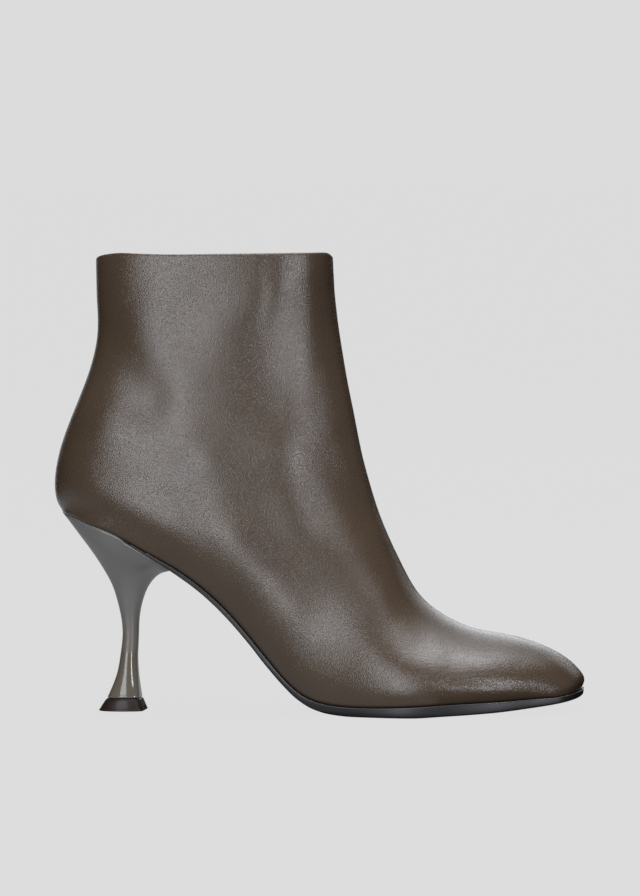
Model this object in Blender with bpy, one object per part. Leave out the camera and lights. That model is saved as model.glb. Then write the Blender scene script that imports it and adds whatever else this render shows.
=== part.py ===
"""Heeled ankle boot for a right foot: upper, insole, outsole, heel and heel top piece.

The upper is one hollow skin over the cross sections of a last. Each section is a flat arch in a plane that is
square to the boot's middle plane: it stands on a bottom point B and reaches a top point T. From the toe to the
heel seat the arches are open below along the feather line, where the sole closes them. From the heel back up to
the collar they are closed rings. All tables are in millimetres, x from heel to toe, y to the inner side, z up.
"""
import math
from collections import namedtuple

import bmesh
import bpy
import numpy as np

MM = 0.001

# Driving sizes, millimetres
WALL = 1.6            # leather and lining together, at the sides and the heel back
APEX_INSET = 1.9      # wall along the section plane at the instep ridge, where the plane meets it at a slant
SEAT_BLEND = 12.0     # half width of the feather line where the inner skin starts to draw in at the heel back
GAP = 0.3             # air between two pieces that meet
INSOLE_THICK = 2.0
INSOLE_GAP = 0.6
EASE_REACH = 9.0      # length over which the turn of the bottom points at the heel back is eased inside the skin
EASE_SPAN = 30.0      # how far along the rows that easing is felt
EASE_DEPTH = 0.25     # share of a section's height over which it sets in above the feather line
RIDGE_ROUND = 2.05    # least roundness right at the instep ridge, also where the sides run straighter
ROW_STEP = 7.0        # largest distance between two rows of the upper
ARCH_POINTS = 17      # steps from the instep ridge down to the feather line on one side

SOLE_BACK = 36.0      # where the thinned end of the outsole is tucked in above the heel
SOLE_MARGIN = 1.0     # how far the outsole stands out beyond the feather line
SOLE_MARGIN_FULL = 70.0   # x from which the margin is full
SOLE_EDGE_FULL = 4.0  # sole thickness at which the edge bevels have their full size
SOLE_TOP_BEVEL = 0.45
SOLE_LOW_BEVEL = 0.9
SOLE_LOW_INSET = 1.3

HEEL_BACK = 2.2       # back end of the heel's top edge
HEEL_BREAST = 52.5    # front end of the heel's top edge, the lip
HEEL_CORNER = 38.0    # x from which the top edge turns in towards the lip
HEEL_CORNER_POWER = 4.0
HEEL_TUCK = 3.5       # length over which the heel's top steps down under the outsole's end
HEEL_POINTS = 15      # steps from back to front on one side of the heel
HEEL_SUBROWS = 2

# Cross sections of the upper. bx, bz: bottom point. tx, tz: top point. yc: middle. wl, wm: half widths to the outer
# and inner side. qc: height share where the arch is widest. nt, nb: roundness above and below it. fl, fm: share of
# the half width that is left at the feather line, zero for a closed ring. tp: how much the arch narrows to its top.
Section = namedtuple("Section", "bx bz tx tz yc wl wm qc nt nb fl fm tp")
SECTIONS = [
    # toe
    Section(229.0, 7.70, 236.6, 9.0, 1.0, 22.0, 21.0, 0.00, 2.70, 2.40, 1.000, 1.000, 0.17),
    Section(227.0, 7.65, 238.0, 12.4, 1.0, 23.5, 22.5, 0.08, 2.70, 2.40, 0.975, 0.975, 0.15),
    Section(223.5, 7.50, 236.0, 17.0, 1.0, 25.5, 24.0, 0.14, 2.50, 2.40, 0.955, 0.955, 0.12),
    Section(218.0, 7.30, 230.6, 22.3, 0.8, 28.0, 26.0, 0.18, 2.34, 2.40, 0.940, 0.940, 0.07),
    Section(208.5, 6.90, 221.0, 28.1, 0.3, 32.5, 29.5, 0.20, 2.12, 2.40, 0.930, 0.930, 0.03),
    # vamp and ball
    Section(196.0, 6.50, 207.0, 33.0, -0.5, 37.0, 33.0, 0.21, 1.94, 2.40, 0.925, 0.925, 0.00),
    Section(180.0, 5.90, 190.0, 36.4, -1.5, 40.5, 36.5, 0.22, 1.78, 2.40, 0.920, 0.920, 0.00),
    Section(163.0, 5.00, 174.2, 43.6, -2.0, 42.0, 37.5, 0.210, 1.76, 2.40, 0.910, 0.900, 0.00),
    Section(146.0, 4.50, 164.0, 52.8, -2.5, 39.0, 34.6, 0.275, 1.85, 2.40, 0.870, 0.840, 0.00),
    # instep and waist
    Section(130.0, 4.8, 157.20, 65.2, -2.5, 34.8, 31.8, 0.335, 1.92, 2.40, 0.800, 0.740, 0.00),
    Section(114.0, 9.2, 151.35, 79.6, -2.5, 31.0, 29.6, 0.355, 1.80, 2.40, 0.710, 0.630, 0.00),
    Section(97.0, 26.1, 145.75, 94.6, -2.0, 29.0, 28.4, 0.330, 1.65, 2.40, 0.640, 0.560, 0.00),
    Section(79.0, 47.3, 141.25, 110.5, -1.5, 28.6, 28.2, 0.285, 1.57, 2.40, 0.640, 0.580, 0.00),
    Section(60.0, 63.6, 137.55, 126.5, -1.0, 29.4, 28.6, 0.295, 1.60, 2.40, 0.690, 0.650, 0.00),
    # heel seat
    Section(41.0, 75.2, 134.65, 141.5, -0.5, 30.3, 29.2, 0.335, 1.68, 2.40, 0.770, 0.750, 0.00),
    Section(25.0, 83.6, 132.55, 153.5, 0.0, 30.3, 29.3, 0.360, 1.76, 2.40, 0.765, 0.755, 0.00),
    Section(14.0, 87.3, 131.15, 162.5, 0.0, 29.8, 29.0, 0.385, 1.82, 2.40, 0.620, 0.620, 0.00),
    Section(7.0, 89.7, 130.45, 167.0, 0.0, 29.6, 28.9, 0.395, 1.87, 2.40, 0.420, 0.420, 0.00),
    # heel back, closed from here on
    Section(1.6, 90.9, 129.95, 170.4, 0.0, 29.4, 28.8, 0.405, 1.96, 2.40, 0.0, 0.0, 0.00),
    Section(-0.7, 95.2, 129.55, 174.4, 0.0, 29.2, 28.6, 0.405, 2.07, 2.40, 0.0, 0.0, 0.00),
    Section(-1.4, 104.0, 128.95, 180.0, 0.0, 28.8, 28.3, 0.404, 2.20, 2.40, 0.0, 0.0, 0.00),
    Section(1.1, 117.5, 128.35, 186.0, 0.0, 28.3, 28.0, 0.411, 2.35, 2.40, 0.0, 0.0, 0.00),
    # ankle and shaft
    Section(7.3, 133.0, 127.95, 191.3, 0.0, 27.8, 27.6, 0.43, 2.44, 2.45, 0.0, 0.0, 0.00),
    Section(13.9, 149.4, 127.75, 195.7, 0.0, 27.3, 27.3, 0.45, 2.51, 2.50, 0.0, 0.0, 0.00),
    Section(18.3, 165.0, 127.55, 199.6, 0.0, 26.8, 26.8, 0.47, 2.58, 2.55, 0.0, 0.0, 0.00),
    Section(19.9, 184.0, 127.45, 203.0, 0.0, 26.4, 26.4, 0.48, 2.64, 2.60, 0.0, 0.0, 0.00),
    # collar
    Section(20.2, 206.2, 127.35, 206.0, 0.0, 26.0, 26.0, 0.49, 2.70, 2.60, 0.0, 0.0, 0.00),
]

# Underside of the outsole along its length: level where it stands, rising to the toe and along the arch
SoleStation = namedtuple("SoleStation", "x z")
SOLE_BOTTOM = [
    SoleStation(36.0, 77.2), SoleStation(45.0, 71.4), SoleStation(57.0, 63.2), SoleStation(68.0, 54.8),
    SoleStation(79.0, 44.1), SoleStation(90.0, 31.3), SoleStation(97.0, 22.3), SoleStation(105.0, 13.3),
    SoleStation(112.0, 6.9), SoleStation(119.5, 2.7), SoleStation(127.0, 0.8), SoleStation(134.0, 0.15),
    SoleStation(138.0, 0.0), SoleStation(166.0, 0.0), SoleStation(178.0, 0.5), SoleStation(190.0, 1.0),
    SoleStation(203.0, 1.7), SoleStation(216.0, 2.9), SoleStation(226.0, 4.1), SoleStation(238.0, 6.2),
]

# Rings of the heel from its foot upwards: back point, front point, half width, share of the length where it is
# widest, squareness at the front and at the back, and how much it narrows from its widest place to its flat front.
# The ring at the seat follows the feather line instead.
HeelRing = namedtuple("HeelRing", "bx bz tx tz w qc nt nb nf")
HEEL_RINGS = [
    HeelRing(20.9, 6.0, 36.2, 6.0, 6.9, 0.60, 10.0, 2.3, 0.25),
    HeelRing(23.9, 12.5, 35.6, 12.5, 5.3, 0.54, 9.0, 2.2, 0.38),
    HeelRing(25.8, 18.0, 35.25, 18.0, 4.6, 0.50, 7.0, 2.1, 0.45),
    HeelRing(27.2, 25.0, 35.2, 25.0, 4.2, 0.48, 4.8, 2.1, 0.45),
    HeelRing(28.4, 34.0, 35.7, 34.0, 4.2, 0.48, 3.2, 2.1, 0.30),
    HeelRing(28.0, 42.0, 36.2, 42.0, 4.9, 0.48, 2.7, 2.1, 0.15),
    HeelRing(26.4, 50.0, 37.8, 49.8, 6.6, 0.48, 2.6, 2.2, 0.05),
    HeelRing(24.1, 57.5, 40.6, 56.4, 9.0, 0.48, 2.6, 2.2, 0.0),
    HeelRing(20.8, 64.0, 44.4, 60.8, 11.9, 0.47, 2.6, 2.2, 0.0),
    HeelRing(15.8, 72.2, 48.7, 62.8, 15.8, 0.46, 2.8, 2.2, 0.0),
    HeelRing(9.7, 81.0, 51.4, 63.6, 19.8, 0.46, 3.2, 2.2, 0.0),
]
TOP_PIECE_RINGS = [
    HeelRing(16.9, 0.0, 38.3, 0.0, 8.5, 0.62, 11.0, 2.4, 0.18),
    HeelRing(18.9, 3.2, 37.2, 3.2, 7.6, 0.61, 10.5, 2.35, 0.20),
    HeelRing(20.7, 5.7, 36.3, 5.7, 7.0, 0.60, 10.0, 2.3, 0.24),
]

Look = namedtuple("Look", "name colour roughness metallic")
LOOKS = {
    "upper": Look("taupe_leather", (0x62, 0x57, 0x4D), 0.45, 0.0),
    "insole": Look("insole_leather", (0x8C, 0x7B, 0x68), 0.65, 0.0),
    "outsole": Look("outsole_rubber", (0x2A, 0x29, 0x2B), 0.55, 0.0),
    "heel": Look("heel_lacquer", (0x5E, 0x5B, 0x56), 0.20, 0.0),
    "heel_top_piece": Look("top_piece_plastic", (0x33, 0x2B, 0x26), 0.25, 0.0),
}


def natural_spline(t, v, at):
    """Smooth curve through the values v at the places t, read at the places at."""
    n = len(t)
    h = np.diff(t)
    a = np.eye(n)
    b = np.zeros(n)
    for i in range(1, n - 1):
        a[i, i - 1:i + 2] = h[i - 1], 2 * (h[i - 1] + h[i]), h[i]
        b[i] = 3 * ((v[i + 1] - v[i]) / h[i] - (v[i] - v[i - 1]) / h[i - 1])
    c = np.linalg.solve(a, b)
    i = np.clip(np.searchsorted(t, at) - 1, 0, n - 2)
    d = at - t[i]
    slope = (v[i + 1] - v[i]) / h[i] - h[i] * (2 * c[i] + c[i + 1]) / 3
    return v[i] + slope * d + c[i] * d ** 2 + (c[i + 1] - c[i]) / (3 * h[i]) * d ** 3


def level_spline(t, v, at):
    """Curve through the values v that never swings past them, level where two neighbours are equal."""
    h = np.diff(t)
    s = np.diff(v) / h
    m = np.zeros(len(t))
    m[0], m[-1] = s[0], s[-1]
    for i in range(1, len(t) - 1):
        if s[i - 1] * s[i] > 0:
            w1, w2 = 2 * h[i] + h[i - 1], h[i] + 2 * h[i - 1]
            m[i] = (w1 + w2) / (w1 / s[i - 1] + w2 / s[i])
    i = np.clip(np.searchsorted(t, at) - 1, 0, len(t) - 2)
    d = (at - t[i]) / h[i]
    return ((1 + 2 * d) * (1 - d) ** 2 * v[i] + d * (1 - d) ** 2 * h[i] * m[i]
            + d * d * (3 - 2 * d) * v[i + 1] + d * d * (d - 1) * h[i] * m[i + 1])


def dense_sections(sections, step):
    """The section table with rows added in between, no two further apart than about one step."""
    col = {name: np.array([getattr(s, name) for s in sections]) for name in Section._fields}
    low = np.hypot(np.diff(col["bx"]), np.diff(col["bz"]))
    high = np.hypot(np.diff(col["tx"]), np.diff(col["tz"]))
    t = np.concatenate([[0.0], np.cumsum((low + high) / 2)])
    at = [t[0]]
    for i in range(len(t) - 1):
        n = max(1, math.ceil((t[i + 1] - t[i]) / step))
        if col["fl"][i] > 0 and col["fl"][i + 1] == 0:
            n = max(n, 4)
        at.extend(np.linspace(t[i], t[i + 1], n + 1)[1:])
    at = np.array(at)
    out = {}
    for name, v in col.items():
        if name in ("fl", "fm"):
            out[name] = np.sqrt(np.clip(level_spline(t, v ** 2, at), 0.0, 1.0))
        elif name == "qc":
            out[name] = level_spline(t, v, at)
        else:
            out[name] = natural_spline(t, v, at)
    closed = int(np.argmax([s.fl == 0 for s in sections]))
    first_ring = int(np.argmin(np.abs(at - t[closed])))
    out["fl"][first_ring:] = 0.0
    out["fm"][first_ring:] = 0.0
    rows = [Section(*[out[name][k] for name in Section._fields]) for k in range(len(at))]
    near = np.exp(-((at[:, None] - at[None, :]) / EASE_REACH) ** 2 / 2) * np.gradient(at)[None, :]
    near = near / near.sum(axis=1, keepdims=True)
    felt = np.exp(-((at - t[closed]) / EASE_SPAN) ** 2)
    ease = np.stack([(near @ out[name] - out[name]) * felt for name in ("bx", "bz")], axis=1)
    return rows, ease, first_ring


def inner_section(s):
    """The same section drawn in by the wall, for the skin inside."""
    span = math.hypot(s.tx - s.bx, s.tz - s.bz)
    ux, uz = (s.tx - s.bx) / span, (s.tz - s.bz) / span
    half_l, half_m = s.fl * s.wl, s.fm * s.wm
    half = (half_l + half_m) / 2
    low = WALL * (1.0 - min(half / SEAT_BLEND, 1.0) ** 2)
    length = span - APEX_INSET - low
    wl, wm = s.wl - WALL, s.wm - WALL
    qc = max((s.qc * span - low) / length, 0.0)
    fl = half_l ** 2 / (half_l + WALL) / wl if half_l > 0 else 0.0
    fm = half_m ** 2 / (half_m + WALL) / wm if half_m > 0 else 0.0
    if s.qc == 0.0:
        fl = fm = 1.0
    return Section(s.bx + ux * low, s.bz + uz * low, s.tx - ux * APEX_INSET, s.tz - uz * APEX_INSET,
                   s.yc, wl, wm, qc, s.nt, s.nb, fl, fm, s.tp)


def arch(s, ease, n):
    """Points of one section from the outer feather edge over the ridge to the inner feather edge."""
    f = (s.fl + s.fm) / 2
    reach = (1 - f ** s.nb) ** (1 / s.nb)
    low = s.qc / reach if reach > 1e-6 else 0.0
    end = math.pi - math.asin(f ** (s.nb / 2)) if reach > 1e-6 else math.pi / 2
    span = math.hypot(s.tx - s.bx, s.tz - s.bz)

    def shape(a):
        c, d = np.abs(np.cos(a)), np.abs(np.sin(a))
        upper_part = a <= math.pi / 2
        q = np.where(upper_part, s.qc + (1 - s.qc) * c ** (2 / s.nt), s.qc - low * c ** (2 / s.nb))
        y = np.where(upper_part, d ** (2 / max(s.nt, RIDGE_ROUND)), d ** (2 / s.nb))
        return q, y

    fine = np.linspace(0.0, end, 1500)
    q, y = shape(fine)
    length = np.concatenate([[0.0], np.cumsum(np.hypot(np.diff(q) * span, np.diff(y) * (s.wl + s.wm) / 2))])
    a = np.interp(np.linspace(0.0, length[-1], n + 1), length, fine)
    q, y = shape(a)
    q[-1] = max(q[-1], 0.0)
    narrow = 1 - s.tp * np.clip((q - s.qc) / (1 - s.qc), 0.0, 1.0)
    halves = []
    for w, share in ((s.wl, s.fl), (s.wm, s.fm)):
        h = w * y * narrow
        if 0.0 < share < 1.0 and s.qc > 0.0:
            own = s.qc / (1 - share ** s.nb) ** (1 / s.nb)
            below = q < s.qc
            h[below] = w * (1 - ((s.qc - q[below]) / own) ** s.nb) ** (1 / s.nb)
        halves.append(h)
    halves[0][0] = halves[1][0] = 0.0
    if f == 0.0:
        halves[0][-1] = halves[1][-1] = 0.0
    q = np.concatenate([q[::-1], q[1:]])
    y = s.yc + np.concatenate([-halves[0][::-1], halves[1][1:]])
    lift = (1 - q) * (1 - np.exp(-q / EASE_DEPTH))
    x = s.bx + q * (s.tx - s.bx) + lift * ease[0]
    z = s.bz + q * (s.tz - s.bz) + lift * ease[1]
    return np.stack([x, y, z], axis=1)


def upper_solid(rows, ease, first_ring):
    """Outer and inner skin joined along the feather line and round the collar."""
    n = ARCH_POINTS
    outer = np.array([arch(s, e, n) for s, e in zip(rows, ease)])
    inner = np.array([arch(inner_section(s), e, n) for s, e in zip(rows, ease)])
    count, cols = outer.shape[:2]
    verts, index = [], []
    for grid in (outer, inner):
        ids = np.zeros((count, cols), int)
        for r in range(count):
            for c in range(cols):
                if r >= first_ring and c == cols - 1:
                    ids[r, c] = ids[r, 0]
                    continue
                ids[r, c] = len(verts)
                verts.append(grid[r, c])
        index.append(ids)
    o, i = index
    faces = []
    for r in range(count - 1):
        for c in range(cols - 1):
            faces.append((o[r, c], o[r, c + 1], o[r + 1, c + 1], o[r + 1, c]))
            faces.append((i[r, c], i[r + 1, c], i[r + 1, c + 1], i[r, c + 1]))
    for c in range(cols - 1):
        faces.append((o[0, c + 1], o[0, c], i[0, c], i[0, c + 1]))
        faces.append((o[-1, c], o[-1, c + 1], i[-1, c + 1], i[-1, c]))
    for r in range(first_ring):
        faces.append((o[r, 0], o[r + 1, 0], i[r + 1, 0], i[r, 0]))
        faces.append((o[r + 1, -1], o[r, -1], i[r, -1], i[r + 1, -1]))
    return np.array(verts), faces, outer, inner


def feather_loop(grid, first_ring):
    """The feather line as a closed loop: heel back, outer side, toe, inner side."""
    n = ARCH_POINTS
    outer_side = [grid[r, 0] for r in range(first_ring - 1, -1, -1)] + [grid[0, c] for c in range(1, n)]
    inner_side = [grid[r, -1] for r in range(first_ring - 1, -1, -1)] + [grid[0, -1 - c] for c in range(1, n)]
    return np.array([grid[first_ring, 0]] + outer_side + [grid[0, n]] + inner_side[::-1])


def grow(loop, amount, open_back):
    """A plan outline moved outwards by an amount, inwards when it is negative."""
    xy = loop[:, :2]
    if open_back:
        t = np.gradient(xy, axis=0)
    else:
        t = np.roll(xy, -1, axis=0) - np.roll(xy, 1, axis=0)
    t = t / np.linalg.norm(t, axis=1, keepdims=True)
    out = loop.copy()
    out[:, 0] += t[:, 1] * amount
    out[:, 1] -= t[:, 0] * amount
    return out


def loft(loops, open_back):
    """Closed solid over a stack of loops. Its end faces join each point to the one across from it."""
    count = len(loops[0])
    verts = np.concatenate(loops)
    faces = []
    for k in range(len(loops) - 1):
        for i in range(count):
            j = (i + 1) % count
            faces.append((k * count + i, k * count + j, (k + 1) * count + j, (k + 1) * count + i))

    def across(i):
        return count - 1 - i if open_back else (count - i) % count

    for base, turn in ((0, -1), ((len(loops) - 1) * count, 1)):
        for i in range(count // 2):
            ring = []
            for v in (i, i + 1, across(i + 1), across(i)):
                if base + v not in ring:
                    ring.append(base + v)
            if len(ring) > 2:
                faces.append(tuple(ring[::turn]))
    return verts, faces


def outsole_solid(feather, seat):
    """Plate under the feather line with a bevelled edge, thinned to its end above the heel."""
    half = len(feather) // 2
    sides = []
    for side in (feather[1:half], feather[:half:-1]):
        keep = side[side[:, 0] > SOLE_BACK + 1.5]
        start = [SOLE_BACK, np.interp(SOLE_BACK, side[:, 0], side[:, 1]), 0.0]
        sides.append(np.vstack([start, keep]))
    outline = np.vstack([sides[0], feather[half], sides[1][::-1]])
    station = np.array(SOLE_BOTTOM)

    def bottom(x):
        return level_spline(station[:, 0], station[:, 1], x)

    def top(x):
        return seat(x) - GAP

    margin = SOLE_MARGIN * np.clip((outline[:, 0] - SOLE_BACK) / (SOLE_MARGIN_FULL - SOLE_BACK), 0.0, 1.0)
    share = np.clip((top(outline[:, 0]) - bottom(outline[:, 0])) / SOLE_EDGE_FULL, 0.0, 1.0)
    low_edge = grow(outline, margin - SOLE_LOW_INSET * share, True)
    low_side = grow(outline, margin - 0.25 * share, True)
    high_side = grow(outline, margin, True)
    high_edge = grow(outline, margin - SOLE_TOP_BEVEL * share, True)
    low_edge[:, 2] = bottom(low_edge[:, 0])
    low_side[:, 2] = bottom(low_side[:, 0]) + SOLE_LOW_BEVEL * share
    high_side[:, 2] = top(high_side[:, 0]) - SOLE_TOP_BEVEL * share
    high_edge[:, 2] = top(high_edge[:, 0])
    return loft([low_edge, low_side, high_side, high_edge], True)


def insole_solid(feather_inside, seat):
    """Board inside the upper that rests on the outsole and the heel seat."""
    low = grow(feather_inside, -INSOLE_GAP, False)
    low[:, 2] = seat(low[:, 0])
    high = low.copy()
    high[:, 2] += INSOLE_THICK
    return loft([low, high], False)


def heel_ring(ring, n):
    """One level loop: back, outer side, front, inner side."""
    q = (1 - np.cos(np.linspace(0.0, math.pi, n + 1))) / 2
    behind = np.clip((ring.qc - q) / ring.qc, 0.0, 1.0)
    ahead = np.clip((q - ring.qc) / (1 - ring.qc), 0.0, 1.0)
    h = ring.w * (1 - behind ** ring.nb) ** (1 / ring.nb) * (1 - ahead ** ring.nt) ** (1 / ring.nt)
    h = h * (1 - ring.nf * ahead ** 2)
    x = ring.bx + q * (ring.tx - ring.bx)
    z = ring.bz + q * (ring.tz - ring.bz)
    side = np.stack([x, -h, z], axis=1)
    back = side[-2:0:-1] * (1.0, -1.0, 1.0)
    return np.vstack([side, back])


def heel_solid(feather, seat, sole_bottom):
    """Heel lofted from its foot to the seat, where it meets the edge of the upper."""
    n = HEEL_POINTS
    half = len(feather) // 2
    q = (1 - np.cos(np.linspace(0.0, math.pi, n + 1))) / 2
    x = HEEL_BACK + q * (HEEL_BREAST - HEEL_BACK)
    turn = np.clip((x - HEEL_CORNER) / (HEEL_BREAST - HEEL_CORNER), 0.0, 1.0)
    draw_in = (1 - turn ** HEEL_CORNER_POWER) ** (1 / HEEL_CORNER_POWER)
    y_out = np.interp(x, feather[:half, 0], feather[:half, 1]) * draw_in
    inner_side = np.vstack([feather[:1], feather[:half:-1]])
    y_in = np.interp(x, inner_side[:, 0], inner_side[:, 1]) * draw_in
    y_out[0] = y_in[0] = y_out[-1] = y_in[-1] = 0.0
    under_sole = np.clip((x - SOLE_BACK + HEEL_TUCK) / (HEEL_TUCK - 0.6), 0.0, 1.0)
    z = (1 - under_sole) * (seat(x) - GAP) + under_sole * (sole_bottom(np.maximum(x, SOLE_BACK)) - GAP)
    z = np.where(x < SOLE_BACK, np.minimum(z, seat(x) - GAP), z)
    side_out = np.stack([x, y_out, z], axis=1)
    side_in = np.stack([x, y_in, z], axis=1)[-2:0:-1]
    rings = [heel_ring(r, n) for r in HEEL_RINGS] + [np.vstack([side_out, side_in])]
    stack = np.array(rings)
    t = np.concatenate([[0.0], np.cumsum(np.linalg.norm(np.diff(stack, axis=0), axis=2).mean(axis=1))])
    at = np.concatenate([np.linspace(t[k], t[k + 1], HEEL_SUBROWS, endpoint=False) for k in range(len(t) - 1)]
                        + [[t[-1]]])
    loops = np.zeros((len(at),) + stack.shape[1:])
    for c in range(stack.shape[1]):
        for axis in range(3):
            loops[:, c, axis] = natural_spline(t, stack[:, c, axis], at)
    return loft(list(loops), False)


def top_piece_solid():
    """Flared block that the heel stands on."""
    return loft([heel_ring(r, HEEL_POINTS) for r in TOP_PIECE_RINGS], False)


def linear(byte):
    """One sRGB byte as linear light."""
    v = byte / 255.0
    return v / 12.92 if v <= 0.04045 else ((v + 0.055) / 1.055) ** 2.4


def make_object(name, verts, faces, look):
    """Mesh object in metres with its own material."""
    mesh = bpy.data.meshes.new(name)
    mesh.from_pydata([tuple(v * MM) for v in verts], [], [tuple(int(i) for i in f) for f in faces])
    body = bmesh.new()
    body.from_mesh(mesh)
    bmesh.ops.triangulate(body, faces=body.faces[:], quad_method="SHORT_EDGE")
    bmesh.ops.recalc_face_normals(body, faces=body.faces[:])
    if body.calc_volume(signed=True) < 0:
        bmesh.ops.reverse_faces(body, faces=body.faces[:])
    body.to_mesh(mesh)
    body.free()
    material = bpy.data.materials.new(look.name)
    material.use_nodes = True
    shader = material.node_tree.nodes["Principled BSDF"]
    shader.inputs["Base Color"].default_value = tuple(linear(b) for b in look.colour) + (1.0,)
    shader.inputs["Roughness"].default_value = look.roughness
    shader.inputs["Metallic"].default_value = look.metallic
    mesh.materials.append(material)
    bpy.context.scene.collection.objects.link(bpy.data.objects.new(name, mesh))


def build():
    """All five pieces, set so that the boot stands on z = 0 with the middle of its box at x = y = 0."""
    rows, ease, first_ring = dense_sections(SECTIONS, ROW_STEP)
    verts, faces, outer, inner = upper_solid(rows, ease, first_ring)
    feather = feather_loop(outer, first_ring)
    feather_inside = feather_loop(inner, first_ring)
    half = len(feather) // 2
    line = feather[:half + 1]
    station = np.array(SOLE_BOTTOM)

    def seat(x):
        return np.interp(x, line[:, 0], line[:, 2])

    def sole_bottom(x):
        return level_spline(station[:, 0], station[:, 1], x)

    pieces = {
        "upper": (verts, faces),
        "insole": insole_solid(feather_inside, seat),
        "outsole": outsole_solid(feather, seat),
        "heel": heel_solid(feather, seat, sole_bottom),
        "heel_top_piece": top_piece_solid(),
    }
    every = np.concatenate([p[0] for p in pieces.values()])
    low, high = every.min(axis=0), every.max(axis=0)
    shift = np.array([-(low[0] + high[0]) / 2, -(low[1] + high[1]) / 2, -low[2]])
    for name, (points, polygons) in pieces.items():
        make_object(name, points + shift, polygons, LOOKS[name])
    return shift, low, high


for old in list(bpy.data.objects):
    bpy.data.objects.remove(old, do_unlink=True)
shift, low, high = build()
print("shift mm", np.round(shift, 3), "box mm", np.round(high - low, 2))
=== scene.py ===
# %% [markdown]
# # A heeled ankle boot in smooth leather
# The boot comes in as five plain solids in one frame: upper, insole, outsole, heel and heel top piece. This
# lesson keeps their sizes and gives each piece the skin, the edges and the finish of the real thing. All
# tables are in the boot's own millimetres: x from heel to toe, y to the inner side, z up from the floor.

# %% Load the fixed frame
import math
from collections import namedtuple

import bpy
import numpy as np
from mathutils import Matrix, Vector


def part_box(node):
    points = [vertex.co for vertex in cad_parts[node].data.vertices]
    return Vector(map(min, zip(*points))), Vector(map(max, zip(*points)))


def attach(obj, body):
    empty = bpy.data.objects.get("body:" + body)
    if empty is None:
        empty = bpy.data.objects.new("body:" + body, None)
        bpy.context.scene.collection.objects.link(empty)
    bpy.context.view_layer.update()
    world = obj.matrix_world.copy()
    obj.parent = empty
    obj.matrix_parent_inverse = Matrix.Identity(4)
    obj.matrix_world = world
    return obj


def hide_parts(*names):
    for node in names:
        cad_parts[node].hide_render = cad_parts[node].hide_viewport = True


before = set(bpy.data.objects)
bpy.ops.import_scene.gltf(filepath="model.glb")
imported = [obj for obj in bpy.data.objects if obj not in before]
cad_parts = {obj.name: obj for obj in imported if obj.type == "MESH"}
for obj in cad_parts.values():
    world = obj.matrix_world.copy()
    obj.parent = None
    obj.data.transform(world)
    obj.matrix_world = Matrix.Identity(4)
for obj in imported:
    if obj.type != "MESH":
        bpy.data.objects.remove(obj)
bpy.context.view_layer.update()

MM = 0.001
ROW_SHIFT = np.array([-118.3, 4.063, 0.0])
print("solids in the frame:", sorted(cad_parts))

# %% [markdown]
# ## The camera
# The boot is seen from its outer side with a long lens, from a little in front of square and just above the
# floor. A camera can be pointed by a constraint, but here its three axes are worked out and written into
# its matrix, because the picture is also rolled by one degree. The long side of the frame takes the sensor
# width.

# %% Camera at the picture's view
PICTURE_WIDE = 640
PICTURE_HIGH = 896
FOCAL_PIXELS = 5550.0
SENSOR_MM = 36.0
VIEW_TARGET = (np.array([120.5, 0.0, 118.3]) + ROW_SHIFT) * MM
VIEW_TURN = math.radians(9.0)
VIEW_RISE = math.radians(3.07)
VIEW_ROLL = math.radians(1.0)
VIEW_AWAY = 2.5


def direction(turn, rise):
    """Unit arrow from the boot outwards, turned from the outer side to the toe and raised."""
    return Vector((math.sin(turn) * math.cos(rise), -math.cos(turn) * math.cos(rise), math.sin(rise)))


def set_camera():
    """Camera on a sphere round the target, rolled so that the right side of the picture rises."""
    back = direction(VIEW_TURN, VIEW_RISE)
    level_right = Vector((math.cos(VIEW_TURN), math.sin(VIEW_TURN), 0.0))
    level_up = back.cross(level_right)
    right = level_right * math.cos(VIEW_ROLL) - level_up * math.sin(VIEW_ROLL)
    up = level_up * math.cos(VIEW_ROLL) + level_right * math.sin(VIEW_ROLL)
    data = bpy.data.cameras.new("picture_camera")
    data.sensor_width = SENSOR_MM
    data.lens = FOCAL_PIXELS / max(PICTURE_WIDE, PICTURE_HIGH) * SENSOR_MM
    camera = bpy.data.objects.new("picture_camera", data)
    place = Matrix((right, up, back)).transposed().to_4x4()
    place.translation = Vector(VIEW_TARGET) + back * VIEW_AWAY
    camera.matrix_world = place
    bpy.context.scene.collection.objects.link(camera)
    bpy.context.scene.camera = camera
    return camera


camera = set_camera()
print("camera at", [round(v, 3) for v in camera.location], "lens", round(camera.data.lens, 1), "mm")

# %% [markdown]
# ## Shared small tools
# Colours are picked as hex values on a screen, but a shader adds light, so each one is turned to linear
# first. Every shader and node tree below is built by one small function that adds a node, sets it and links
# it.

# %% Colour, node and mesh helpers
def linear(hex_colour):
    """A screen hex colour as linear light with full alpha."""
    out = []
    for i in (1, 3, 5):
        v = int(hex_colour[i:i + 2], 16) / 255.0
        out.append(v / 12.92 if v <= 0.04045 else ((v + 0.055) / 1.055) ** 2.4)
    return tuple(out) + (1.0,)


def add_node(tree, kind, inputs=None, **settings):
    """A node with its settings, and its inputs set to values or linked to other nodes' sockets."""
    node = tree.nodes.new(kind)
    for name, value in settings.items():
        setattr(node, name, value)
    for key, value in (inputs or {}).items():
        if isinstance(value, bpy.types.NodeSocket):
            tree.links.new(value, node.inputs[key])
        else:
            node.inputs[key].default_value = value
    return node


def new_material(name):
    """An empty material and its node tree."""
    material = bpy.data.materials.new(name)
    material.use_nodes = True
    material.node_tree.nodes.clear()
    return material, material.node_tree


def material_from(name, surface):
    """A material whose shader is built by a function of its node tree and of places in the frame."""
    material, tree = new_material(name)
    shader = surface(tree, add_node(tree, "ShaderNodeTexCoord").outputs["Object"])
    add_node(tree, "ShaderNodeOutputMaterial", {"Surface": shader.outputs[0]})
    return material


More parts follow.
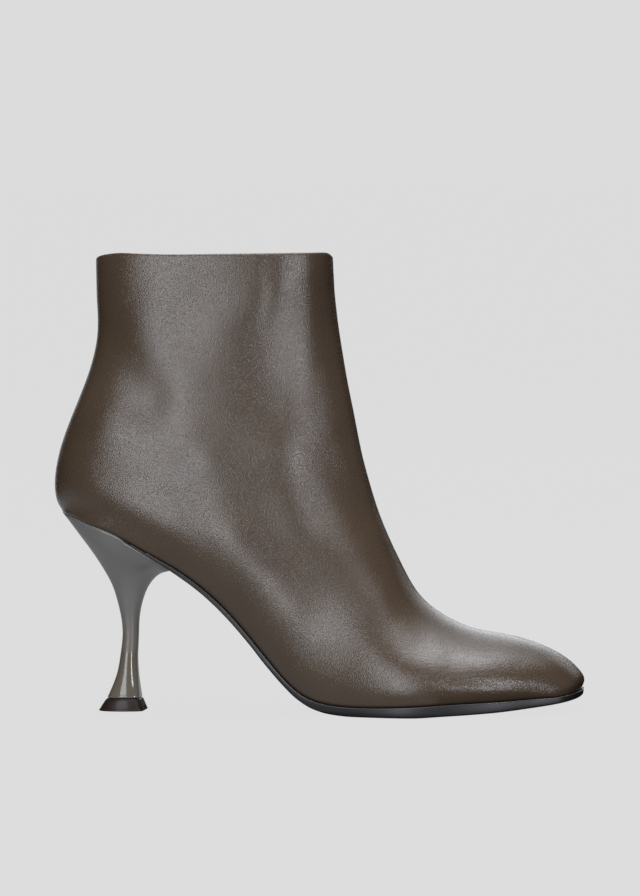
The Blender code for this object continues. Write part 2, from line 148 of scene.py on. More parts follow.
def two_tones(tree, place, patch_mm, detail, dark, light):
    """Colour that drifts between two tones in soft patches of the given size."""
    drift = add_node(tree, "ShaderNodeTexNoise", {
        "Vector": place, "Scale": 1 / (patch_mm * MM), "Detail": detail})
    tone = add_node(tree, "ShaderNodeMix", {0: drift.outputs["Fac"], 6: linear(dark), 7: linear(light)},
                    data_type="RGBA")
    return tone.outputs[2]


def piece_from(name, verts, faces, materials, slots=None):
    """A smooth mesh piece from points in boot millimetres, placed in the frame."""
    mesh = bpy.data.meshes.new(name)
    points = (np.asarray(verts) + ROW_SHIFT) * MM
    mesh.from_pydata(points.tolist(), [], [tuple(int(i) for i in f) for f in faces])
    for material in materials:
        mesh.materials.append(material)
    if slots is not None:
        mesh.polygons.foreach_set("material_index", np.asarray(slots, np.int32))
    mesh.polygons.foreach_set("use_smooth", np.ones(len(faces), bool))
    mesh.update()
    piece = bpy.data.objects.new(name, mesh)
    bpy.context.scene.collection.objects.link(piece)
    triangles = sum(len(f) - 2 for f in faces)
    print(name, "has", len(verts), "points and", triangles, "triangles")
    return piece


def smooth_step(v):
    """Zero below 0, one above 1, with soft ends between."""
    v = np.clip(v, 0.0, 1.0)
    return v * v * (3 - 2 * v)


print("taupe in linear light:", [round(v, 4) for v in linear("#5A4E44")[:3]])

# %% [markdown]
# ## Studio: pale floor and soft lights
# A shoe is photographed on pale paper under large, slightly cool diffusers. The paper could be lit like the
# shoe, but a pool of light would then show round it, so nearly all of its brightness is its own. It lets
# lamp light through, because the low edges of the soft boxes and the two cards under the boot reach below
# it. The sky seen past the paper has the same tone, so no horizon shows.

# %% Floor, sky and lights
PAPER_TONE = "#D9D9D9"
PAPER_GLOW = 1.025
PAPER_MATT = (0.008, 0.008, 0.008, 1.0)
PAPER_HALF = 40.0
SKY_GLOW = 1.031
LAMP_COLOUR = (0.965, 1.0, 1.06)
Softbox = namedtuple("Softbox", "name aim turn rise away wide high radiance")
BOOT_MIDDLE = (0.0, 0.0, 0.11)
SOFTBOXES = [Softbox(*row) for row in [
    ("front_left_box", BOOT_MIDDLE, -20.0, 6.0, 2.0, 0.9, 1.5, 6.3),
    ("front_right_box", BOOT_MIDDLE, 36.7, 0.0, 2.0, 0.25, 1.2, 20.0),
    ("overhead_box", BOOT_MIDDLE, 4.0, 88.0, 1.6, 1.3, 1.3, 7.4),
    ("above_camera_box", BOOT_MIDDLE, 24.0, 42.0, 2.0, 0.4, 0.4, 7.0),
    ("right_fill_box", BOOT_MIDDLE, 95.0, 12.0, 2.0, 1.6, 1.2, 0.1),
    ("far_side_box", BOOT_MIDDLE, 183.0, 17.0, 2.2, 0.7, 1.1, 1.9),
    ("far_left_box", BOOT_MIDDLE, 205.0, 6.0, 2.0, 0.8, 1.2, 0.6),
    ("far_right_box", BOOT_MIDDLE, 164.0, 20.0, 2.2, 0.5, 1.0, 1.1),
    ("far_high_box", BOOT_MIDDLE, 174.0, 50.0, 2.2, 0.8, 0.8, 1.7),
    ("far_toe_box", BOOT_MIDDLE, 142.0, 54.0, 2.2, 0.6, 0.5, 2.2),
    ("near_floor_card", (-0.19, -0.25, 0.1), 0.0, -90.0, 0.098, 0.5, 0.5, 0.3),
    ("far_floor_card", (-0.19, 0.25, 0.1), 0.0, -90.0, 0.098, 0.5, 0.5, 0.5),
]]


def set_floor():
    """A wide sheet of pale paper at z = 0."""
    material, tree = new_material("pale_studio_paper")
    matte = add_node(tree, "ShaderNodeBsdfDiffuse", {"Color": PAPER_MATT})
    glow = add_node(tree, "ShaderNodeEmission", {"Color": linear(PAPER_TONE), "Strength": PAPER_GLOW})
    both = add_node(tree, "ShaderNodeAddShader", {0: matte.outputs[0], 1: glow.outputs[0]})
    add_node(tree, "ShaderNodeOutputMaterial", {"Surface": both.outputs[0]})
    corners = [(x * PAPER_HALF, y * PAPER_HALF, 0.0) for x, y in ((-1, -1), (1, -1), (1, 1), (-1, 1))]
    mesh = bpy.data.meshes.new("floor")
    mesh.from_pydata(corners, [], [(0, 1, 2, 3)])
    mesh.materials.append(material)
    floor = bpy.data.objects.new("floor", mesh)
    floor.visible_glossy = False
    floor.visible_diffuse = False
    floor.visible_shadow = False
    bpy.context.scene.collection.objects.link(floor)


def set_sky():
    """Plain sky of the paper's tone, seen past the floor and lending the boot no light."""
    world = bpy.data.worlds.new("studio_sky")
    world.use_nodes = True
    tree = world.node_tree
    tree.nodes.clear()
    sky = add_node(tree, "ShaderNodeBackground", {"Color": linear(PAPER_TONE), "Strength": SKY_GLOW})
    add_node(tree, "ShaderNodeOutputWorld", {"Surface": sky.outputs[0]})
    bpy.context.scene.world = world
    world.cycles_visibility.diffuse = False
    world.cycles_visibility.glossy = False


def set_softbox(box):
    """A lamp panel that faces the boot. Its power is what gives the panel the stated radiance."""
    back = direction(math.radians(box.turn), math.radians(box.rise))
    data = bpy.data.lights.new(box.name, "AREA")
    data.shape = "RECTANGLE"
    data.size = box.wide
    data.size_y = box.high
    data.color = LAMP_COLOUR
    data.energy = box.radiance * math.pi * box.wide * box.high
    lamp = bpy.data.objects.new(box.name, data)
    lamp.location = Vector(box.aim) + back * box.away
    lamp.rotation_mode = "QUATERNION"
    lamp.rotation_quaternion = back.to_track_quat("Z", "Y")
    lamp.visible_camera = False
    bpy.context.scene.collection.objects.link(lamp)


set_floor()
set_sky()
for box in SOFTBOXES:
    set_softbox(box)
bpy.context.scene.view_settings.view_transform = "Standard"
print("studio has", len(SOFTBOXES), "soft boxes")

# %% [markdown]
# ## The last inside the boot
# A boot takes its shape from a last, and a last is described by cross sections. Each row below is one flat
# arch that stands on a bottom point and reaches a top point, so the rows fan round from the toe to the
# collar. The solids came from the same rows. Reading them again, but more finely, gives a skin that fits
# them.

# %% Cross sections and the curves through them
WALL = 1.6
APEX_INSET = 1.9
SEAT_BLEND = 12.0
EASE_REACH = 9.0
EASE_SPAN = 30.0
EASE_DEPTH = 0.25
RIDGE_ROUND = 2.05
ROW_STEP = 1.6
ARCH_POINTS = 64
ARCH_FINE = 1500
CLOSING_ROWS = 4

# Columns: bottom x and z, top x and z, middle y, half widths outside and inside, share of the height where
# it is widest, powers of the curve above and below that, shares of the width open below, narrowing on top.
Section = namedtuple("Section", "bx bz tx tz yc wl wm qc nt nb fl fm tp", defaults=(0.0, 0.0, 0.0))
SECTIONS = [Section(*row) for row in [
    # toe
    (229.0, 7.7, 236.6, 9.0, 1.0, 22.0, 21.0, 0.0, 2.7, 2.4, 1.0, 1.0, 0.17),
    (227.0, 7.65, 238.0, 12.4, 1.0, 23.5, 22.5, 0.08, 2.7, 2.4, 0.975, 0.975, 0.15),
    (223.5, 7.5, 236.0, 17.0, 1.0, 25.5, 24.0, 0.14, 2.5, 2.4, 0.955, 0.955, 0.12),
    (218.0, 7.3, 230.6, 22.3, 0.8, 28.0, 26.0, 0.18, 2.34, 2.4, 0.94, 0.94, 0.07),
    (208.5, 6.9, 221.0, 28.1, 0.3, 32.5, 29.5, 0.2, 2.12, 2.4, 0.93, 0.93, 0.03),
    # vamp and ball
    (196.0, 6.5, 207.0, 33.0, -0.5, 37.0, 33.0, 0.21, 1.94, 2.4, 0.925, 0.925),
    (180.0, 5.9, 190.0, 36.4, -1.5, 40.5, 36.5, 0.22, 1.78, 2.4, 0.92, 0.92),
    (163.0, 5.0, 174.2, 43.6, -2.0, 42.0, 37.5, 0.21, 1.76, 2.4, 0.91, 0.9),
    (146.0, 4.5, 164.0, 52.8, -2.5, 39.0, 34.6, 0.275, 1.85, 2.4, 0.87, 0.84),
    # instep and waist
    (130.0, 4.8, 157.2, 65.2, -2.5, 34.8, 31.8, 0.335, 1.92, 2.4, 0.8, 0.74),
    (114.0, 9.2, 151.35, 79.6, -2.5, 31.0, 29.6, 0.355, 1.8, 2.4, 0.71, 0.63),
    (97.0, 26.1, 145.75, 94.6, -2.0, 29.0, 28.4, 0.33, 1.65, 2.4, 0.64, 0.56),
    (79.0, 47.3, 141.25, 110.5, -1.5, 28.6, 28.2, 0.285, 1.57, 2.4, 0.64, 0.58),
    (60.0, 63.6, 137.55, 126.5, -1.0, 29.4, 28.6, 0.295, 1.6, 2.4, 0.69, 0.65),
    # heel seat
    (41.0, 75.2, 134.65, 141.5, -0.5, 30.3, 29.2, 0.335, 1.68, 2.4, 0.77, 0.75),
    (25.0, 83.6, 132.55, 153.5, 0.0, 30.3, 29.3, 0.36, 1.76, 2.4, 0.765, 0.755),
    (14.0, 87.3, 131.15, 162.5, 0.0, 29.8, 29.0, 0.385, 1.82, 2.4, 0.62, 0.62),
    (7.0, 89.7, 130.45, 167.0, 0.0, 29.6, 28.9, 0.395, 1.87, 2.4, 0.42, 0.42),
    # heel back, closed rings from here on
    (1.6, 90.9, 129.95, 170.4, 0.0, 29.4, 28.8, 0.405, 1.96, 2.4),
    (-0.7, 95.2, 129.55, 174.4, 0.0, 29.2, 28.6, 0.405, 2.07, 2.4),
    (-1.4, 104.0, 128.95, 180.0, 0.0, 28.8, 28.3, 0.404, 2.2, 2.4),
    (1.1, 117.5, 128.35, 186.0, 0.0, 28.3, 28.0, 0.411, 2.35, 2.4),
    # ankle and shaft
    (7.3, 133.0, 127.95, 191.3, 0.0, 27.8, 27.6, 0.43, 2.44, 2.45),
    (13.9, 149.4, 127.75, 195.7, 0.0, 27.3, 27.3, 0.45, 2.51, 2.5),
    (18.3, 165.0, 127.55, 199.6, 0.0, 26.8, 26.8, 0.47, 2.58, 2.55),
    (19.9, 184.0, 127.45, 203.0, 0.0, 26.4, 26.4, 0.48, 2.64, 2.6),
    # collar
    (20.2, 206.2, 127.35, 206.0, 0.0, 26.0, 26.0, 0.49, 2.7, 2.6),
]]


def natural_spline(t, v, at):
    """Smooth curve through the values v at the places t, read at the places at."""
    n = len(t)
    h = np.diff(t)
    a = np.eye(n)
    b = np.zeros(n)
    for i in range(1, n - 1):
        a[i, i - 1:i + 2] = h[i - 1], 2 * (h[i - 1] + h[i]), h[i]
        b[i] = 3 * ((v[i + 1] - v[i]) / h[i] - (v[i] - v[i - 1]) / h[i - 1])
    c = np.linalg.solve(a, b)
    i = np.clip(np.searchsorted(t, at) - 1, 0, n - 2)
    d = at - t[i]
    slope = (v[i + 1] - v[i]) / h[i] - h[i] * (2 * c[i] + c[i + 1]) / 3
    return v[i] + slope * d + c[i] * d ** 2 + (c[i + 1] - c[i]) / (3 * h[i]) * d ** 3


def level_spline(t, v, at):
    """Curve through the values v that never swings past them, level where two neighbours are equal."""
    h = np.diff(t)
    s = np.diff(v) / h
    m = np.zeros(len(t))
    m[0], m[-1] = s[0], s[-1]
    for i in range(1, len(t) - 1):
        if s[i - 1] * s[i] > 0:
            w1, w2 = 2 * h[i] + h[i - 1], h[i] + 2 * h[i - 1]
            m[i] = (w1 + w2) / (w1 / s[i - 1] + w2 / s[i])
    i = np.clip(np.searchsorted(t, at) - 1, 0, len(t) - 2)
    d = (at - t[i]) / h[i]
    return ((1 + 2 * d) * (1 - d) ** 2 * v[i] + d * (1 - d) ** 2 * h[i] * m[i]
            + d * d * (3 - 2 * d) * v[i + 1] + d * d * (d - 1) * h[i] * m[i + 1])


def dense_sections(sections, step):
    """The section table with rows added in between, no two further apart than about one step."""
    col = {name: np.array([getattr(s, name) for s in sections]) for name in Section._fields}
    low = np.hypot(np.diff(col["bx"]), np.diff(col["bz"]))
    high = np.hypot(np.diff(col["tx"]), np.diff(col["tz"]))
    t = np.concatenate([[0.0], np.cumsum((low + high) / 2)])
    at = [t[0]]
    for i in range(len(t) - 1):
        n = max(1, math.ceil((t[i + 1] - t[i]) / step))
        if col["fl"][i] > 0 and col["fl"][i + 1] == 0:
            n = max(n, CLOSING_ROWS)
        at.extend(np.linspace(t[i], t[i + 1], n + 1)[1:])
    at = np.array(at)
    out = {}
    for name, v in col.items():
        if name in ("fl", "fm"):
            out[name] = np.sqrt(np.clip(level_spline(t, v ** 2, at), 0.0, 1.0))
        elif name == "qc":
            out[name] = level_spline(t, v, at)
        else:
            out[name] = natural_spline(t, v, at)
    closed = int(np.argmax([s.fl == 0 for s in sections]))
    first_ring = int(np.argmin(np.abs(at - t[closed])))
    out["fl"][first_ring:] = 0.0
    out["fm"][first_ring:] = 0.0
    rows = [Section(*[out[name][k] for name in Section._fields]) for k in range(len(at))]
    near = np.exp(-((at[:, None] - at[None, :]) / EASE_REACH) ** 2 / 2) * np.gradient(at)[None, :]
    near = near / near.sum(axis=1, keepdims=True)
    felt = np.exp(-((at - t[closed]) / EASE_SPAN) ** 2)
    ease = np.stack([(near @ out[name] - out[name]) * felt for name in ("bx", "bz")], axis=1)
    return rows, ease, first_ring


def inner_section(s):
    """The same section drawn in by the wall, for the skin inside."""
    span = math.hypot(s.tx - s.bx, s.tz - s.bz)
    ux, uz = (s.tx - s.bx) / span, (s.tz - s.bz) / span
    half_l, half_m = s.fl * s.wl, s.fm * s.wm
    half = (half_l + half_m) / 2
    low = WALL * (1.0 - min(half / SEAT_BLEND, 1.0) ** 2)
    length = span - APEX_INSET - low
    wl, wm = s.wl - WALL, s.wm - WALL
    qc = max((s.qc * span - low) / length, 0.0)
    fl = half_l ** 2 / (half_l + WALL) / wl if half_l > 0 else 0.0
    fm = half_m ** 2 / (half_m + WALL) / wm if half_m > 0 else 0.0
    if s.qc == 0.0:
        fl = fm = 1.0
    return Section(s.bx + ux * low, s.bz + uz * low, s.tx - ux * APEX_INSET, s.tz - uz * APEX_INSET,
                   s.yc, wl, wm, qc, s.nt, s.nb, fl, fm, s.tp)


def arch(s, ease, n):
    """Points of one section from the outer feather edge over the ridge to the inner feather edge."""
    f = (s.fl + s.fm) / 2
    reach = (1 - f ** s.nb) ** (1 / s.nb)
    low = s.qc / reach if reach > 1e-6 else 0.0
    end = math.pi - math.asin(f ** (s.nb / 2)) if reach > 1e-6 else math.pi / 2
    span = math.hypot(s.tx - s.bx, s.tz - s.bz)

    def shape(a):
        c, d = np.abs(np.cos(a)), np.abs(np.sin(a))
        upper_part = a <= math.pi / 2
        q = np.where(upper_part, s.qc + (1 - s.qc) * c ** (2 / s.nt), s.qc - low * c ** (2 / s.nb))
        y = np.where(upper_part, d ** (2 / max(s.nt, RIDGE_ROUND)), d ** (2 / s.nb))
        return q, y

    fine = np.linspace(0.0, end, ARCH_FINE)
    q, y = shape(fine)
    length = np.concatenate([[0.0], np.cumsum(np.hypot(np.diff(q) * span, np.diff(y) * (s.wl + s.wm) / 2))])
    a = np.interp(np.linspace(0.0, length[-1], n + 1), length, fine)
    q, y = shape(a)
    q[-1] = max(q[-1], 0.0)
    narrow = 1 - s.tp * np.clip((q - s.qc) / (1 - s.qc), 0.0, 1.0)
    halves = []
    for w, share in ((s.wl, s.fl), (s.wm, s.fm)):
        h = w * y * narrow
        if 0.0 < share < 1.0 and s.qc > 0.0:
            own = s.qc / (1 - share ** s.nb) ** (1 / s.nb)
            below = q < s.qc
            h[below] = w * (1 - ((s.qc - q[below]) / own) ** s.nb) ** (1 / s.nb)
        halves.append(h)
    halves[0][0] = halves[1][0] = 0.0
    if f == 0.0:
        halves[0][-1] = halves[1][-1] = 0.0
    q = np.concatenate([q[::-1], q[1:]])
    y = s.yc + np.concatenate([-halves[0][::-1], halves[1][1:]])
    lift = (1 - q) * (1 - np.exp(-q / EASE_DEPTH))
    x = s.bx + q * (s.tx - s.bx) + lift * ease[0]
    z = s.bz + q * (s.tz - s.bz) + lift * ease[1]
    return np.stack([x, y, z], axis=1)


rows, ease, first_ring = dense_sections(SECTIONS, ROW_STEP)
skin = np.array([arch(s, e, ARCH_POINTS) for s, e in zip(rows, ease)])
lining = np.array([arch(inner_section(s), e, ARCH_POINTS) for s, e in zip(rows, ease)])
print("skin grid", skin.shape, "closed rings from row", first_ring)
upper_low, upper_high = [np.array(v) / MM - ROW_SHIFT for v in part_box("upper")]
print("skin inside the solid's box by, mm:", np.round(skin.min((0, 1)) - upper_low, 2),
      np.round(upper_high - skin.max((0, 1)), 2))

# %% [markdown]
# ## Settling the skin
# Behind the heel the open arches close into rings, and neighbouring rows turn so fast that a line would
# show in a glossy skin. On the real boot, damp leather is pulled over the last there and settles smoothly.
# Blurring the rows along the boot, strongest at the closing and not at the feather line itself, does the
# same. Just above the heel the turn is tightest, so the grid is blurred both ways there, each time with a
# step back.

# %% Blur the rows behind the heel
SETTLE_ROWS = 6.0
SETTLE_SPAN = 22.0
SETTLE_COLUMNS = 5.0
CHIN = np.array([3.0, 0.0, 92.0])
CHIN_REACH = 15.0
CHIN_ROUNDS = 40
CHIN_BLUR = 0.5
CHIN_RETURN = 0.51
CHIN_COLUMNS = 3.0


def settle(grid):
    """The grid with its rows blurred into each other round the closing of the rings."""
    count, cols = grid.shape[:2]
    r = np.arange(count)
    blur = np.exp(-((r[:, None] - r[None, :]) / SETTLE_ROWS) ** 2 / 2)
    blur = blur / blur.sum(axis=1, keepdims=True)
    smooth = np.einsum("rs,sck->rck", blur, grid)
    felt = np.exp(-((r - first_ring) / SETTLE_SPAN) ** 2)
    c = np.arange(cols)
    above = np.clip(np.minimum(c, cols - 1 - c) / SETTLE_COLUMNS, 0.0, 1.0)
    return grid + (smooth - grid) * (felt[:, None] * above[None, :])[..., None]


def soften_chin(grid):
    """The grid smoothed just above the heel. A step back after each blur keeps the form full."""
    count, cols = grid.shape[:2]
    c = np.arange(cols)
    hold = np.clip(np.minimum(c, cols - 1 - c) / CHIN_COLUMNS, 0.0, 1.0)[None, :] * np.ones((count, 1))
    hold[first_ring + 1:] = 1.0
    near = hold * np.exp(-(((grid - CHIN) / CHIN_REACH) ** 2).sum(axis=2))
    out = grid.copy()
    for amount in [CHIN_BLUR, -CHIN_RETURN] * CHIN_ROUNDS:
        before, after = np.roll(out, 1, axis=1), np.roll(out, -1, axis=1)
        before[first_ring:, 0] = out[first_ring:, -2]
        after[first_ring:, -1] = out[first_ring:, 1]
        mean = (np.roll(out, 1, axis=0) + np.roll(out, -1, axis=0) + before + after) / 4
        out = out + (mean - out) * (near * amount)[..., None]
    return out


settled = soften_chin(settle(skin))
print("largest move while settling, mm:", round(float(np.linalg.norm(settled - skin, axis=2).max()), 2))
skin = settled
lining = soften_chin(settle(lining))

# %% [markdown]
# ## The collar line
# The top edge is cut almost level, but hand folding leaves it a little wavy, higher behind the ankle bone
# on the outer side and about two millimetres lower on the inner side. The rows below the edge follow it,
# less and less, so the whole shaft eases into that line. The last bit of height is left to the fold that
# rounds the edge.

# %% Bend the top rows to the collar line
RIM_OUTER = np.array([(19.0, 204.8), (22.0, 206.0), (26.0, 207.0), (35.0, 207.8), (44.0, 207.4),
                      (62.0, 206.9), (99.0, 206.9), (127.0, 206.7)])
RIM_INNER = 204.3
RIM_SIDE_BLEND = 10.0
RIM_LEVEL = 206.1
RIM_REACH = 30.0
RIM_ROUND = 0.9
RIM_STEPS = 7


def to_collar_line(grid):
    """The grid with its top rows moved up or down to the collar line, less the rounding."""
    inner_share = smooth_step((grid[..., 1] / RIM_SIDE_BLEND + 1) / 2)
    x, z = RIM_OUTER.T
    line = level_spline(x, z, np.clip(grid[..., 0], x[0], x[-1]))
    rim = (1 - inner_share) * line + inner_share * RIM_INNER
    felt = smooth_step((grid[..., 2] - RIM_LEVEL + RIM_REACH) / RIM_REACH)
    out = grid.copy()
    out[..., 2] += (rim - RIM_LEVEL - RIM_ROUND) * felt
    return out


skin = to_collar_line(skin)
lining = to_collar_line(lining)
top_line = skin[-1, :, 2]
print("collar line runs from", round(float(top_line.min()), 1), "to", round(float(top_line.max()), 1))

# %% [markdown]
# ## Creases set one by one
# Soft leather never lies quite flat: it hollows above the heel, dips over the ankle, swells over the
# quarter and the instep and carries a faint upright ridge near the front of the shaft. Noise would scatter
# such folds, so each one is drawn as a path in the boot's own millimetres with a depth and a width, and the
# skin is pushed along its normals. The lining is glued to the skin and goes with it. The inner side, which
# is finished plainly, gets the creases at half depth.

# %% Soft troughs and ridges
Crease = namedtuple("Crease", "name path depth width")
CREASES = [Crease(*row) for row in [
    ("trough down the back", [(21, 191), (28, 172), (36, 156), (44, 140), (52, 122)], -1.7, 12.5),
    ("dip over the ankle", [(54, 190), (63, 170), (71, 150)], -0.4, 10.0),
    ("hollow above the heel", [(10, 149), (34, 147), (64, 142)], -1.15, 12.5),
    ("trough at the front of the shaft", [(103, 220), (103, 198), (103.5, 188), (99.5, 168)], -0.38, 2.9),
    ("ridge at the front of the shaft",
     [(123, 224), (121.5, 200), (119.5, 180), (118, 160), (115, 138), (114, 118)], 0.4, 5.0),
    ("ridge down the instep", [(109, 135), (110, 107), (114, 91), (122, 68)], 1.1, 11.5),
    ("hollow before the instep", [(127, 134), (131, 115), (141, 94), (149, 76), (159, 54)], -1.1, 9.0),
    ("edge of the heel counter", [(30, 123), (46, 119), (58, 114), (70, 107)], -0.15, 5.0),
    ("rim of the heel counter", [(3, 103), (21, 100), (39, 95), (56, 86), (72, 73)], 1.0, 7.5),
    ("swell below the ankle", [(59, 134), (71, 119), (78, 102)], 0.42, 9.2),
    ("swell before the counter", [(71, 124), (77, 108), (83, 92)], 0.23, 7.3),
    ("swell of the quarter", [(68, 96), (86, 78), (101, 59), (112, 41), (122, 27)], 1.6, 11.5),
    ("hollow over the waist", [(78, 71), (97, 51), (114, 33), (130, 22)], -0.6, 9.5),
    ("hollow of the vamp", [(133, 54), (158, 34), (184, 25)], -0.45, 7.5),
    ("swell over the ball", [(154, 24.5), (170, 23), (184, 22.5)], 0.5, 7.5),
    ("vamp crease", [(172, 17.5), (194, 16.2), (212, 14.0)], -0.22, 1.7),
    ("fold under the vamp crease", [(172, 14.2), (194, 13.0), (212, 11.0)], 0.1, 2.0),
]]
INNER_CREASE_SHARE = 0.5
CREASE_ENDS = 0.3
CREASE_SIDE_BLEND = 6.0
CREASE_FREE_COLUMNS = 8.0
CREASE_FREE_ROWS = 6.0
WAVE_LEAN = 0.6
FAR = 99.0
WAVES = [(41.0, 0.3, 0.9, 0.05), (33.0, 1.4, 2.2, 0.05), (27.0, 2.3, 0.4, 0.04), (22.0, 0.9, 4.1, 0.03)]


def grid_normals(grid):
    """Outward direction at each point of a skin."""
    along = np.gradient(grid, axis=0)
    across = np.gradient(grid, axis=1)
    n = np.cross(across, along)
    return n / np.maximum(np.linalg.norm(n, axis=2, keepdims=True), 1e-9)


def crease_height(grid, crease):
    """How far one crease moves each point of the skin."""
    p = grid[..., [0, 2]]
    path = np.array(crease.path, float)
    steps = np.linalg.norm(np.diff(path, axis=0), axis=1)
    start = np.concatenate([[0.0], np.cumsum(steps)])
    best = np.full(p.shape[:2], 1e9)
    place = np.zeros(p.shape[:2])
    for a, b, s0, length in zip(path[:-1], path[1:], start, steps):
        t = np.clip(((p - a) @ (b - a)) / length ** 2, 0.0, 1.0)
        d = np.linalg.norm(p - a - t[..., None] * (b - a), axis=2)
        place = np.where(d < best, (s0 + t * length) / start[-1], place)
        best = np.minimum(best, d)
    ends = smooth_step(place / CREASE_ENDS) * smooth_step((1 - place) / CREASE_ENDS)
    return crease.depth * ends * np.exp(-(best / crease.width) ** 2)


def creases(grid):
    """How far the creases and a slight unevenness push each point of the skin along its normal."""
    height = sum(crease_height(grid, crease) for crease in CREASES)
    inner_share = smooth_step((grid[..., 1] / CREASE_SIDE_BLEND + 1) / 2)
    height = height * (1 - (1 - INNER_CREASE_SHARE) * inner_share)
    for length, turn, phase, depth in WAVES:
        way = grid @ (math.cos(turn), WAVE_LEAN, math.sin(turn))
        height = height + depth * np.sin(2 * math.pi * way / length + phase)
    count, cols = grid.shape[:2]
    c = np.arange(cols)
    clear = np.minimum(c, cols - 1 - c)[None, :] * np.ones((count, 1))
    clear = np.where(np.arange(count)[:, None] >= first_ring, FAR, clear)
    from_toe = np.arange(count)[:, None]
    return height * smooth_step(clear / CREASE_FREE_COLUMNS) * smooth_step(from_toe / CREASE_FREE_ROWS)


crease_map = creases(skin)
push = grid_normals(skin) * crease_map[..., None]
skin = skin + push
lining = lining + push
print("creases reach from", round(float(crease_map.min()), 2), "to", round(float(crease_map.max()), 2), "mm")

# %% [markdown]
# ## Smooth calf leather
# The upper is smooth nappa: drum-dyed skin with a thin clear finish. Its own colour is a deep taupe brown,
# and the pale tones on it are the soft boxes, spread by a satin finish. The grain is made of tiny pebbles a
# few tenths of a millimetre wide, drawn here about twice as coarse as life so that they show. One noise
# lifts the pebbles and makes their tops shinier than the pores between them, and a stretched noise gives
# the fine lines where the vamp bends.

# %% Leather material
GRAIN_MM = 0.46
GRAIN_LIFT_MM = 0.145
PORE_ROUGHNESS = 0.33
PEBBLE_ROUGHNESS = 0.12
BEND_LINES_PER_M = (90.0, 260.0, 640.0)
BEND_LIFT_MM = 0.25
DYE_PATCH_MM = 24.0


def nappa_leather(tree, place):
    """Satin leather with fine grain, bending lines, uneven dye and painted shade along the feather line."""
    grain = add_node(tree, "ShaderNodeTexNoise", {
        "Vector": place, "Scale": 1 / (GRAIN_MM * MM), "Detail": 1.0}).outputs[0]
    flex = add_node(tree, "ShaderNodeAttribute", attribute_name="flex").outputs["Fac"]
    stretch = add_node(tree, "ShaderNodeMapping", {"Vector": place, "Scale": BEND_LINES_PER_M})
    lines = add_node(tree, "ShaderNodeTexNoise", {"Vector": stretch.outputs[0], "Scale": 1.0, "Detail": 2.0})
    bend = add_node(tree, "ShaderNodeMath", {0: lines.outputs["Fac"], 1: flex}, operation="MULTIPLY")
    skin_bump = add_node(tree, "ShaderNodeBump", {
        "Height": grain, "Strength": 1.0, "Distance": GRAIN_LIFT_MM * MM})
    bump = add_node(tree, "ShaderNodeBump", {
        "Height": bend.outputs[0], "Strength": 0.5, "Distance": BEND_LIFT_MM * MM,
        "Normal": skin_bump.outputs[0]})
    dye = two_tones(tree, place, DYE_PATCH_MM, 3.0, "#3E3228", "#4B3E31")
    # Painted shade: along the feather line the leather is darkened towards #332A24, standing in for the
    # shadow in the gap where the upper meets the sole.
    edge = add_node(tree, "ShaderNodeAttribute", attribute_name="edge").outputs["Fac"]
    colour = add_node(tree, "ShaderNodeMix", {0: edge, 6: dye, 7: linear("#332A24")}, data_type="RGBA")
    satin = add_node(tree, "ShaderNodeMapRange", {
        "Value": grain, 1: 0.25, 2: 0.75, 3: PORE_ROUGHNESS, 4: PEBBLE_ROUGHNESS})
    return add_node(tree, "ShaderNodeBsdfPrincipled", {
        "Base Color": colour.outputs[2], "Roughness": satin.outputs[0], "IOR": 1.5,
        "Normal": bump.outputs[0]})


def lining_leather(tree, place):
    """Unfinished pigskin of the lining: matt, pale beige, with a faint suede nap."""
    nap = add_node(tree, "ShaderNodeTexNoise", {"Vector": place, "Scale": 1 / (0.8 * MM), "Detail": 4.0})
    bump = add_node(tree, "ShaderNodeBump", {
        "Height": nap.outputs["Fac"], "Strength": 0.4, "Distance": 0.1 * MM})
    return add_node(tree, "ShaderNodeBsdfPrincipled", {
        "Base Color": two_tones(tree, place, 18.0, 2.0, "#7D6B58", "#94816B"),
        "Roughness": 0.75, "IOR": 1.45,
        "Normal": bump.outputs[0]})


leather = material_from("smooth_nappa_leather", nappa_leather)
lining_skin = material_from("pigskin_lining", lining_leather)
print("materials:", leather.name, "and", lining_skin.name)

# %% [markdown]
# ## The upper
# The skin outside and the lining inside are two grids with the same rows. Joined along the feather line,
# round the toe and round the collar they make one hollow shell, open at the top and below where the sole
# closes it. Two attributes ride on its points for the leather to read: where the vamp flexes, and where a
# painted shade darkens the skin along the feather line, standing in for the shadow in the gap above the
# sole.

# %% Join skin and lining into one shell
FLEX_MIDDLE = np.array([186.0, 24.0])
FLEX_REACH = np.array([26.0, 16.0])
# Width in mm of the painted shade that darkens the leather along the feather line.
GAP_SHADE_REACH = 1.2


def rim_rows(outer_edge, inner_edge):
    """Rows that carry the leather over the collar's edge to the lining in a half round."""
    middle = (outer_edge + inner_edge) / 2
    reach = (outer_edge - inner_edge) / 2
    turns = np.linspace(0.0, math.pi, RIM_STEPS + 1)[1:-1]
    return np.array([middle + reach * math.cos(a) + (0.0, 0.0, RIM_ROUND * math.sin(a)) for a in turns])


